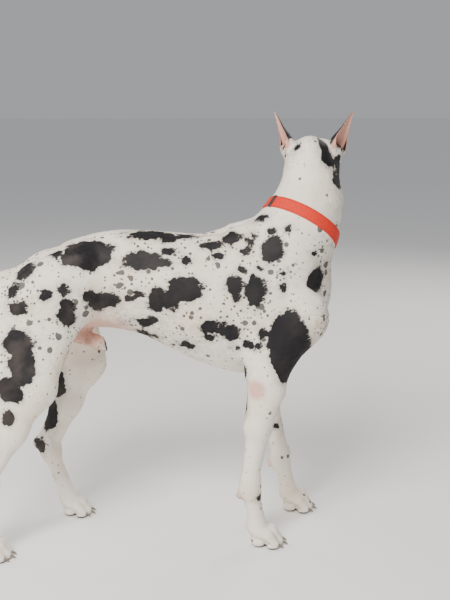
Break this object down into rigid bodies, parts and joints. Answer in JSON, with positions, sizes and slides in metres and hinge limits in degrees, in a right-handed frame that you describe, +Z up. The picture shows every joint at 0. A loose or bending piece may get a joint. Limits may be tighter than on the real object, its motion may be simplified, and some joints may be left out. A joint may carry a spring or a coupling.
{
  "type": "great dane dog",
  "caption": "Life-size standing great dane with cropped ears and a plain collar, its head turned to its left, parted into body, limbs, ears, eyes and claws.",
  "frame": {"origin": "on the floor, under the middle of the whole dog's box", "axes": "+Z up, -Y the way the dog's chest faces, +X the dog's left"},
  "size_m": [0.5074, 1.0462, 1.1204],
  "materials": {
    "coat": "short flat coat",
    "nose": "moist, pebbled",
    "eye": "glossy",
    "claw": "satin horn",
    "collar": "satin"
  },
  "bodies": {
    "root": {"torso": "coat", "neck": "coat", "head": "coat", "nose": "nose", "ear_left": "coat", "eye_left": "eye", "ear_right": "coat", "eye_right": "eye", "tail": "coat", "foreleg_right": "coat", "claw_fore_right_1": "claw", "claw_fore_right_2": "claw", "claw_fore_right_3": "claw", "claw_fore_right_4": "claw", "forepaw_right": "coat", "foreleg_left": "coat", "claw_fore_left_1": "claw", "claw_fore_left_2": "claw", "claw_fore_left_3": "claw", "claw_fore_left_4": "claw", "forepaw_left": "coat", "hindleg_right": "coat", "claw_hind_right_1": "claw", "claw_hind_right_2": "claw", "claw_hind_right_3": "claw", "claw_hind_right_4": "claw", "hindpaw_right": "coat", "hindleg_left": "coat", "claw_hind_left_1": "claw", "claw_hind_left_2": "claw", "claw_hind_left_3": "claw", "claw_hind_left_4": "claw", "hindpaw_left": "coat", "collar": "collar"}
  },
  "joints": []
}
